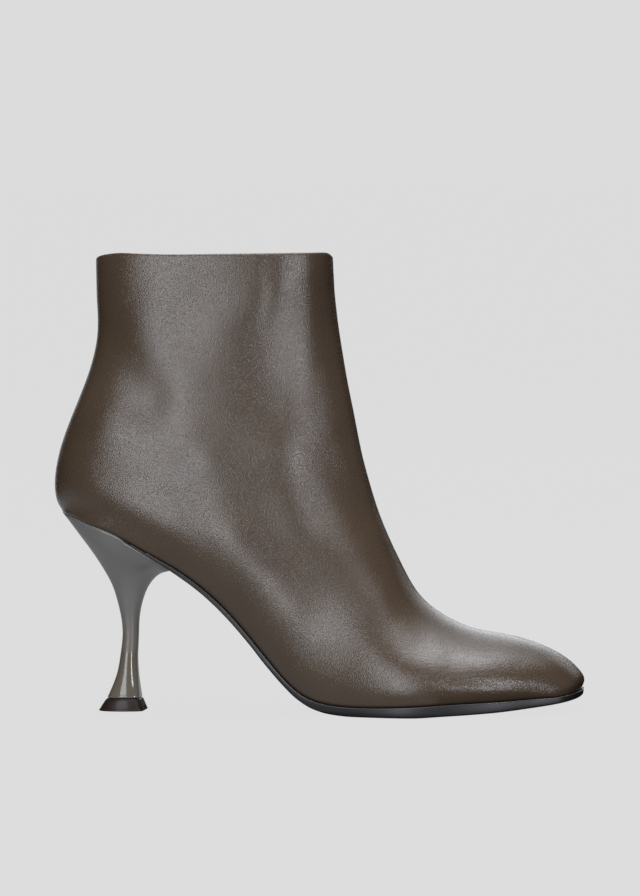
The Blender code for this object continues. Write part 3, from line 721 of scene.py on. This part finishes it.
def shell(outer, inner):
    """Points, faces and material slots of the hollow upper."""
    count, cols = outer.shape[:2]
    points, index = [], []
    for grid in (outer, inner):
        ids = np.zeros((count, cols), int)
        for r in range(count):
            last = cols - 1 if r >= first_ring else cols
            ids[r, :last] = len(points) + np.arange(last)
            points.extend(grid[r, :last])
            if last < cols:
                ids[r, -1] = ids[r, 0]
        index.append(ids)
    o, i = index
    over = [o[-1]]
    for row in rim_rows(outer[-1], inner[-1]):
        ids = len(points) + np.arange(cols)
        ids[-1] = ids[0]
        points.extend(row[:-1])
        over.append(ids)
    over.append(i[-1])
    faces, slots = [], []
    for r in range(count - 1):
        for c in range(cols - 1):
            faces.append((o[r, c], o[r, c + 1], o[r + 1, c + 1], o[r + 1, c]))
            faces.append((i[r, c], i[r + 1, c], i[r + 1, c + 1], i[r, c + 1]))
            slots.extend((0, 1))
    for c in range(cols - 1):
        faces.append((o[0, c + 1], o[0, c], i[0, c], i[0, c + 1]))
        slots.append(0)
        for below, above in zip(over[:-1], over[1:]):
            faces.append((below[c], below[c + 1], above[c + 1], above[c]))
            slots.append(0)
    for r in range(first_ring):
        faces.append((o[r, 0], o[r + 1, 0], i[r + 1, 0], i[r, 0]))
        faces.append((o[r + 1, -1], o[r, -1], i[r, -1], i[r + 1, -1]))
        slots.extend((0, 0))
    return np.array(points), faces, slots, o


def point_attribute(piece, name, values):
    """A number on each point of a piece, for its material to read."""
    layer = piece.data.attributes.new(name, "FLOAT", "POINT")
    layer.data.foreach_set("value", np.asarray(values, np.float32))


points, faces, slots, outer_ids = shell(skin, lining)
upper = piece_from("boot_upper", points, faces, [leather, lining_skin], slots)
flex = np.exp(-(((points[:, [0, 2]] - FLEX_MIDDLE) / FLEX_REACH) ** 2).sum(axis=1))
point_attribute(upper, "flex", flex)
# Painted shade: the outer skin darkens near the feather line, read as 'edge', standing in for the shadow in
# the gap above the sole.
rise = np.full(len(points), FAR)
below_ring = np.linalg.norm(skin[:first_ring] - skin[:first_ring, :1], axis=2)
below_ring = np.minimum(below_ring, np.linalg.norm(skin[:first_ring] - skin[:first_ring, -1:], axis=2))
rise[outer_ids[:first_ring].ravel()] = below_ring.ravel()
rise[outer_ids[0]] = 0.0
point_attribute(upper, "edge", np.exp(-(rise / GAP_SHADE_REACH) ** 2))
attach(upper, "root")
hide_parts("upper")

# %% [markdown]
# ## A roll along a path
# The sole's upper corner carries a thin bead left by the edge iron. It could be modelled ring by ring, but
# it is the same small oval all the way along a line, and Geometry Nodes sweeps one along any line. The
# tree's inputs are the line, the oval's width and height, the steps round it and the material, and its
# result is turned into a plain mesh.

# %% A node tree that sweeps an oval
def edge_roll_tree():
    """Tree with a path of edges, an oval's two sizes, its steps and a material as inputs."""
    tree = bpy.data.node_groups.new("edge_roll", "GeometryNodeTree")
    for name, kind in (("Path", "Geometry"), ("Roll Width", "Float"), ("Roll Height", "Float"),
                       ("Steps Round", "Int"), ("Material", "Material")):
        tree.interface.new_socket(name, in_out="INPUT", socket_type="NodeSocket" + kind)
    tree.interface.new_socket("Roll", in_out="OUTPUT", socket_type="NodeSocketGeometry")
    given = add_node(tree, "NodeGroupInput").outputs
    curve = add_node(tree, "GeometryNodeMeshToCurve", {"Mesh": given["Path"]})
    upright = add_node(tree, "GeometryNodeSetCurveNormal", {"Curve": curve.outputs[0]}, mode="Z_UP")
    circle = add_node(tree, "GeometryNodeCurvePrimitiveCircle", {
        "Resolution": given["Steps Round"], "Radius": 0.5})
    sizes = add_node(tree, "ShaderNodeCombineXYZ", {0: given["Roll Width"], 1: given["Roll Height"], 2: 1.0})
    oval = add_node(tree, "GeometryNodeTransform", {
        "Geometry": circle.outputs[0], "Scale": sizes.outputs[0]})
    swept = add_node(tree, "GeometryNodeCurveToMesh", {"Curve": upright.outputs[0],
                                                       "Profile Curve": oval.outputs[0], "Fill Caps": True})
    smooth = add_node(tree, "GeometryNodeSetShadeSmooth", {0: swept.outputs[0]})
    real = add_node(tree, "GeometryNodeRealizeInstances", {0: smooth.outputs[0]})
    dressed = add_node(tree, "GeometryNodeSetMaterial", {0: real.outputs[0], "Material": given["Material"]})
    add_node(tree, "NodeGroupOutput", {0: dressed.outputs[0]})
    return tree


def roll_along(name, path, sizes):
    """A piece made by the tree: an oval roll along a path of boot millimetres."""
    edges = [(i, i + 1) for i in range(len(path) - 1)]
    mesh = bpy.data.meshes.new(name)
    mesh.from_pydata(((np.asarray(path) + ROW_SHIFT) * MM).tolist(), edges, [])
    piece = bpy.data.objects.new(name, mesh)
    bpy.context.scene.collection.objects.link(piece)
    step = piece.modifiers.new("edge_roll", "NODES")
    step.node_group = roll_tree
    for socket in roll_tree.interface.items_tree:
        if socket.name in sizes:
            step[socket.identifier] = sizes[socket.name]
    evaluated = piece.evaluated_get(bpy.context.evaluated_depsgraph_get())
    swept = bpy.data.meshes.new_from_object(evaluated)
    piece.modifiers.remove(step)
    piece.data = swept
    swept.name = name
    span = np.ptp(np.array([v.co for v in swept.vertices]), axis=0)
    print(name, "has", len(swept.polygons), "faces and spans, mm,", np.round(span / MM, 1))
    return piece


roll_tree = edge_roll_tree()
print("edge roll tree has", len(roll_tree.nodes), "nodes")

# %% [markdown]
# ## Insole
# Inside lies a thin leather-covered board. Only its top shows, from above, so it is a plate along the inner
# feather line with a softly rounded upper edge. Loops of points stacked on each other and closed across
# make such a plate.

# %% Plate tools and the insole
INSOLE_THICK = 2.0
INSOLE_GAP = 0.6
INSOLE_ROUND = 0.7
INSOLE_SHOULDER = 0.3 * INSOLE_ROUND


def feather_loop(grid):
    """The feather line as a closed loop: heel back, outer side, toe, inner side."""
    n = ARCH_POINTS
    outer_side = np.vstack([grid[:first_ring, 0][::-1], grid[0, 1:n]])
    inner_side = np.vstack([grid[:first_ring, -1][::-1], grid[0, -2:n:-1]])
    return np.vstack([grid[first_ring, 0], outer_side, grid[0, n], inner_side[::-1]])


def grow(loop, amount, open_back):
    """A plan outline moved outwards by an amount, inwards when it is negative."""
    xy = loop[:, :2]
    if open_back:
        t = np.gradient(xy, axis=0)
    else:
        t = np.roll(xy, -1, axis=0) - np.roll(xy, 1, axis=0)
    t = t / np.maximum(np.linalg.norm(t, axis=1, keepdims=True), 1e-9)
    out = loop.copy()
    out[:, 0] += t[:, 1] * amount
    out[:, 1] -= t[:, 0] * amount
    return out


def loft(loops, open_back):
    """Closed solid over a stack of loops. Its end faces join each point to the one across from it."""
    count = len(loops[0])
    verts = np.concatenate(loops)
    faces = []
    for k in range(len(loops) - 1):
        for i in range(count):
            j = (i + 1) % count
            faces.append((k * count + i, k * count + j, (k + 1) * count + j, (k + 1) * count + i))

    def across(i):
        return count - 1 - i if open_back else (count - i) % count

    for base, turn in ((0, -1), ((len(loops) - 1) * count, 1)):
        for i in range(count // 2):
            ring = []
            for v in (i, i + 1, across(i + 1), across(i)):
                if base + v not in ring:
                    ring.append(base + v)
            if len(ring) > 2:
                faces.append(tuple(ring[::turn]))
    return verts, faces


feather = feather_loop(skin)
feather_inside = feather_loop(lining)
half = len(feather) // 2


def seat(x):
    """Height of the feather line along the boot."""
    return np.interp(x, feather[:half + 1, 0], feather[:half + 1, 2])


def insole_loops():
    """Loops of the insole from its underside over the rounded edge to its top."""
    loops = []
    for inset, height in ((0.0, 0.0), (0.0, INSOLE_THICK - INSOLE_ROUND),
                          (INSOLE_SHOULDER, INSOLE_THICK - INSOLE_SHOULDER), (INSOLE_ROUND, INSOLE_THICK)):
        loop = grow(feather_inside, -INSOLE_GAP - inset, False)
        loop[:, 2] = seat(loop[:, 0]) + height
        loops.append(loop)
    return loops


def insole_leather(tree, place):
    """Thin vegetable-tanned sock: matt, even, with fine pores."""
    pores = add_node(tree, "ShaderNodeTexVoronoi", {"Vector": place, "Scale": 1 / (0.7 * MM)})
    bump = add_node(tree, "ShaderNodeBump", {
        "Height": pores.outputs["Distance"], "Strength": 0.3, "Distance": 0.08 * MM})
    return add_node(tree, "ShaderNodeBsdfPrincipled", {
        "Base Color": two_tones(tree, place, 30.0, 3.0, "#85725D", "#9A866F"), "Roughness": 0.62, "IOR": 1.5,
        "Normal": bump.outputs[0]})


sock_leather = material_from("insole_sock_leather", insole_leather)
insole = piece_from("insole_sock", *loft(insole_loops(), False), [sock_leather])
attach(insole, "root")
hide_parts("insole")

# %% [markdown]
# ## Outsole
# The sole is a thin plate that follows the feather line and stands out from it by a millimetre. It is level
# under the ball, rises to the toe and along the arch, and thins to nothing above the heel. Its edge is
# trimmed, rounded below and set with a hot iron. A bead of polished wax runs along its upper corner.

# %% Sole plate with a set edge
SOLE_BACK = 36.0
SOLE_MARGIN = 1.0
SOLE_MARGIN_FULL = 70.0
SOLE_EDGE_FULL = 4.0
SOLE_TOP_ROUND = 0.5
SOLE_LOW_ROUND = 0.9
SOLE_LOW_INSET = 1.3
SOLE_SIDE_LEAN = 0.25
SOLE_GAP = 0.3
SOLE_BOTTOM = np.array([
    (36.0, 77.2), (45.0, 71.4), (57.0, 63.2), (68.0, 54.8), (79.0, 44.1), (90.0, 31.3), (97.0, 22.3),
    (105.0, 13.3), (112.0, 6.9), (119.5, 2.7), (127.0, 0.8), (134.0, 0.15), (138.0, 0.0), (166.0, 0.0),
    (178.0, 0.5), (190.0, 1.0), (203.0, 1.7), (216.0, 2.9), (226.0, 4.1), (238.0, 6.2)])
BEAD_START = SOLE_BACK + 8.0
BEAD_MM = 0.5


def sole_bottom(x):
    """Height of the sole's underside along the boot."""
    return level_spline(SOLE_BOTTOM[:, 0], SOLE_BOTTOM[:, 1], x)


def sole_loops():
    """Loops of the sole from its underside round the edge to its top, and the line of its upper corner."""
    sides = []
    for side in (feather[1:half], feather[:half:-1]):
        keep = side[side[:, 0] > SOLE_BACK + 1.0]
        start = [SOLE_BACK, np.interp(SOLE_BACK, side[:, 0], side[:, 1]), 0.0]
        sides.append(np.vstack([start, keep]))
    outline = np.vstack([sides[0], feather[half], sides[1][::-1]])
    x = outline[:, 0]
    margin = SOLE_MARGIN * np.clip((x - SOLE_BACK) / (SOLE_MARGIN_FULL - SOLE_BACK), 0.0, 1.0)
    share = np.clip((seat(x) - SOLE_GAP - sole_bottom(x)) / SOLE_EDGE_FULL, 0.0, 1.0)
    loops = []
    for a in np.radians([0.0, 22.5, 45.0, 67.5, 90.0]):
        inset = SOLE_SIDE_LEAN + (SOLE_LOW_INSET - SOLE_SIDE_LEAN) * (1 - math.sin(a))
        loop = grow(outline, margin - inset * share, True)
        loop[:, 2] = sole_bottom(loop[:, 0]) + SOLE_LOW_ROUND * (1 - math.cos(a)) * share
        loops.append(loop)
    for a in np.radians([0.0, 30.0, 60.0, 90.0]):
        loop = grow(outline, margin - SOLE_TOP_ROUND * (1 - math.cos(a)) * share, True)
        loop[:, 2] = seat(loop[:, 0]) - SOLE_GAP - SOLE_TOP_ROUND * (1 - math.sin(a)) * share
        loops.append(loop)
    return loops, (loops[-3] + loops[-2]) / 2


def sole_rubber(tree, place):
    """Charcoal sole compound, slightly shiny and finely stippled all over."""
    stipple = add_node(tree, "ShaderNodeTexNoise", {"Vector": place, "Scale": 1 / (0.6 * MM), "Detail": 3.0})
    gloss = add_node(tree, "ShaderNodeMapRange", {"Value": stipple.outputs["Fac"], 3: 0.34, 4: 0.48})
    bump = add_node(tree, "ShaderNodeBump", {
        "Height": stipple.outputs["Fac"], "Strength": 0.10, "Distance": 0.06 * MM})
    return add_node(tree, "ShaderNodeBsdfPrincipled", {
        "Base Color": two_tones(tree, place, 14.0, 2.0, "#171618", "#201F21"), "Roughness": gloss.outputs[0],
        "IOR": 1.38, "Normal": bump.outputs[0]})


def edge_wax_with_painted_highlight():
    """Polished wax on the bead of the sole's edge, lighter than the sole as a painted highlight along its
    upper corner.
    """
    material, tree = new_material("polished_edge_wax_painted_highlight")
    shader = add_node(tree, "ShaderNodeBsdfPrincipled", {
        "Base Color": linear("#4A4644"), "Roughness": 0.25, "IOR": 1.5})
    add_node(tree, "ShaderNodeOutputMaterial", {"Surface": shader.outputs[0]})
    return material


loops, corner = sole_loops()
rubber = material_from("moulded_sole_rubber", sole_rubber)
outsole = piece_from("outsole_plate", *loft(loops, True), [rubber])
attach(outsole, "root")
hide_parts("outsole")
# Painted highlight: the bead's wax is lighter than the sole, so a light line shows along the sole's upper
# corner.
bead = roll_along("sole_edge_bead", corner[corner[:, 0] > BEAD_START], {
    "Roll Width": BEAD_MM * MM, "Roll Height": BEAD_MM * MM, "Steps Round": 8, "Material": edge_wax_with_painted_highlight()})
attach(bead, "root")

# %% [markdown]
# ## Heel
# The heel is turned in at the middle like a spool: wide and cupped where it carries the boot, narrow in the
# stem, and flared again at its foot. It is lofted through rings that are rounded behind and squarer in
# front. It is cast from smoky resin, greyer and satin above, browner and polished towards the foot.

# %% Heel rings and the heel
HEEL_BACK = 2.2
HEEL_BREAST = 52.5
HEEL_CORNER = 38.0
HEEL_CORNER_POWER = 4.0
HEEL_TUCK = 3.5
HEEL_TUCK_END = 0.6
HEEL_POINTS = 44
HEEL_SUBROWS = 7
HEEL_FOOT_ROUND = 0.3
RESIN_BLEND = (22.0 * MM, 56.0 * MM)
RESIN_POLISH = (25.0 * MM, 28.0 * MM)
# Columns: back x and z, front x and z, half width, place of the widest point, powers of the curve before and
# behind that, narrowing at the front.
HeelRing = namedtuple("HeelRing", "bx bz tx tz w qc nt nb nf")
HEEL_RINGS = [HeelRing(*row) for row in [
    (20.9, 6.0, 36.2, 6.0, 6.9, 0.6, 10.0, 2.3, 0.25),
    (23.9, 12.5, 35.6, 12.5, 5.3, 0.54, 9.0, 2.2, 0.38),
    (25.8, 18.0, 35.25, 18.0, 4.6, 0.5, 7.0, 2.1, 0.45),
    (27.2, 25.0, 35.2, 25.0, 4.2, 0.48, 4.8, 2.1, 0.45),
    (28.4, 34.0, 35.7, 34.0, 4.2, 0.48, 3.2, 2.1, 0.3),
    (28.0, 42.0, 36.2, 42.0, 4.9, 0.48, 2.7, 2.1, 0.15),
    (26.4, 50.0, 37.8, 49.8, 6.6, 0.48, 2.6, 2.2, 0.05),
    (24.1, 57.5, 40.6, 56.4, 9.0, 0.48, 2.6, 2.2, 0.0),
    (20.8, 64.0, 44.4, 60.8, 11.9, 0.47, 2.6, 2.2, 0.0),
    (15.8, 72.2, 48.7, 62.8, 15.8, 0.46, 2.8, 2.2, 0.0),
    (9.7, 81.0, 51.4, 63.6, 19.8, 0.46, 3.2, 2.2, 0.0),
]]


def heel_ring(ring, n):
    """One level loop: back, outer side, front, inner side."""
    q = (1 - np.cos(np.linspace(0.0, math.pi, n + 1))) / 2
    behind = np.clip((ring.qc - q) / ring.qc, 0.0, 1.0)
    ahead = np.clip((q - ring.qc) / (1 - ring.qc), 0.0, 1.0)
    h = ring.w * (1 - behind ** ring.nb) ** (1 / ring.nb) * (1 - ahead ** ring.nt) ** (1 / ring.nt)
    h = h * (1 - ring.nf * ahead ** 2)
    x = ring.bx + q * (ring.tx - ring.bx)
    z = ring.bz + q * (ring.tz - ring.bz)
    side = np.stack([x, -h, z], axis=1)
    back = side[-2:0:-1] * (1.0, -1.0, 1.0)
    return np.vstack([side, back])


def heel_seat_ring(n):
    """The heel's top edge, which follows the feather line and steps down under the sole's end."""
    q = (1 - np.cos(np.linspace(0.0, math.pi, n + 1))) / 2
    x = HEEL_BACK + q * (HEEL_BREAST - HEEL_BACK)
    turn = np.clip((x - HEEL_CORNER) / (HEEL_BREAST - HEEL_CORNER), 0.0, 1.0)
    draw_in = (1 - turn ** HEEL_CORNER_POWER) ** (1 / HEEL_CORNER_POWER)
    inner_side = np.vstack([feather[:1], feather[:half:-1]])
    y_out = np.interp(x, feather[:half, 0], feather[:half, 1]) * draw_in
    y_in = np.interp(x, inner_side[:, 0], inner_side[:, 1]) * draw_in
    y_out[0] = y_in[0] = y_out[-1] = y_in[-1] = 0.0
    under_sole = np.clip((x - SOLE_BACK + HEEL_TUCK) / (HEEL_TUCK - HEEL_TUCK_END), 0.0, 1.0)
    below = sole_bottom(np.maximum(x, SOLE_BACK)) - SOLE_GAP
    z = (1 - under_sole) * (seat(x) - SOLE_GAP) + under_sole * below
    z = np.where(x < SOLE_BACK, np.minimum(z, seat(x) - SOLE_GAP), z)
    side_out = np.stack([x, y_out, z], axis=1)
    side_in = np.stack([x, y_in, z], axis=1)[-2:0:-1]
    return np.vstack([side_out, side_in])


def spline_loops(rings, subrows):
    """Loops between a stack of rings, on a smooth curve through each point."""
    stack = np.array(rings)
    t = np.concatenate([[0.0], np.cumsum(np.linalg.norm(np.diff(stack, axis=0), axis=2).mean(axis=1))])
    at = [np.linspace(t[k], t[k + 1], subrows, endpoint=False) for k in range(len(t) - 1)]
    at = np.concatenate(at + [[t[-1]]])
    loops = np.zeros((len(at),) + stack.shape[1:])
    for c in range(stack.shape[1]):
        for axis in range(3):
            loops[:, c, axis] = natural_spline(t, stack[:, c, axis], at)
    return list(loops)


def rounded_foot(loops, amount):
    """The same loops with a narrow rounded edge at the lowest one."""
    middle = loops[0].mean(axis=0)
    reach = np.linalg.norm(loops[0] - middle, axis=1, keepdims=True)
    inset = loops[0] - (loops[0] - middle) / np.maximum(reach, 1e-6) * abs(amount)
    raised = loops[0] + (0.0, 0.0, amount)
    return [inset, raised] + loops[1:]


def smoky_resin(tree, place):
    """Cast resin of the heel. Height in the frame blends grey to olive brown and satin to polish."""
    height = add_node(tree, "ShaderNodeSeparateXYZ", {0: place}).outputs["Z"]
    swirl = add_node(tree, "ShaderNodeTexNoise", {"Vector": place, "Scale": 1 / (9.0 * MM), "Detail": 2.0})
    grey = add_node(tree, "ShaderNodeMapRange", {"Value": height, 1: RESIN_BLEND[0], 2: RESIN_BLEND[1]},
                    interpolation_type="SMOOTHSTEP")
    cloud = add_node(tree, "ShaderNodeMath", {0: swirl.outputs["Fac"], 1: 0.12, 2: grey.outputs[0]},
                     operation="MULTIPLY_ADD", use_clamp=True)
    tone = add_node(tree, "ShaderNodeMix", {0: cloud.outputs[0], 6: linear("#5D564B"), 7: linear("#62605D")},
                    data_type="RGBA")
    satin = add_node(tree, "ShaderNodeMapRange", {
        "Value": height, 1: RESIN_POLISH[0], 2: RESIN_POLISH[1], 3: 0.12, 4: 0.40},
        interpolation_type="SMOOTHSTEP")
    return add_node(tree, "ShaderNodeBsdfPrincipled", {
        "Base Color": tone.outputs[2], "Roughness": satin.outputs[0], "IOR": 1.5})


rings = [heel_ring(r, HEEL_POINTS) for r in HEEL_RINGS] + [heel_seat_ring(HEEL_POINTS)]
heel_loops = rounded_foot(spline_loops(rings, HEEL_SUBROWS), HEEL_FOOT_ROUND)
resin = material_from("smoky_cast_resin", smoky_resin)
heel = piece_from("heel_spool", *loft(heel_loops, False), [resin])
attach(heel, "root")
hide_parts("heel")

# %% [markdown]
# ## Heel top piece
# The small block that meets the ground is moulded from hard dark plastic. It flares downwards, its front is
# flat and its edges are broken by a fraction of a millimetre, which is enough to catch a line of light.

# %% Top piece
TOP_PIECE_RINGS = [HeelRing(*row) for row in [
    (16.9, 0.0, 38.3, 0.0, 8.5, 0.62, 11.0, 2.4, 0.18),
    (18.9, 3.2, 37.2, 3.2, 7.6, 0.61, 10.5, 2.35, 0.2),
    (20.7, 5.7, 36.3, 5.7, 7.0, 0.6, 10.0, 2.3, 0.24),
]]
TOP_PIECE_ROUND = 0.35
TOP_PIECE_SUBROWS = 4


def dark_plastic(tree, place):
    """Hard moulded plastic, nearly black brown, polished by its mould."""
    flow = add_node(tree, "ShaderNodeTexNoise", {"Vector": place, "Scale": 1 / (5.0 * MM), "Detail": 3.0})
    tone = add_node(tree, "ShaderNodeMix", {
        0: flow.outputs["Fac"], 6: linear("#221A16"), 7: linear("#2E2420")}, data_type="RGBA")
    gloss = add_node(tree, "ShaderNodeMapRange", {"Value": flow.outputs["Fac"], 3: 0.30, 4: 0.40})
    return add_node(tree, "ShaderNodeBsdfPrincipled", {
        "Base Color": tone.outputs[2], "Roughness": gloss.outputs[0], "IOR": 1.36})


block = spline_loops([heel_ring(r, HEEL_POINTS) for r in TOP_PIECE_RINGS], TOP_PIECE_SUBROWS)
block = rounded_foot(block, TOP_PIECE_ROUND)
block = rounded_foot([loop.copy() for loop in block[::-1]], -TOP_PIECE_ROUND)[::-1]
plastic = material_from("moulded_dark_plastic", dark_plastic)
top_piece = piece_from("heel_top_block", *loft(block, False), [plastic])
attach(top_piece, "root")
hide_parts("heel_top_piece")
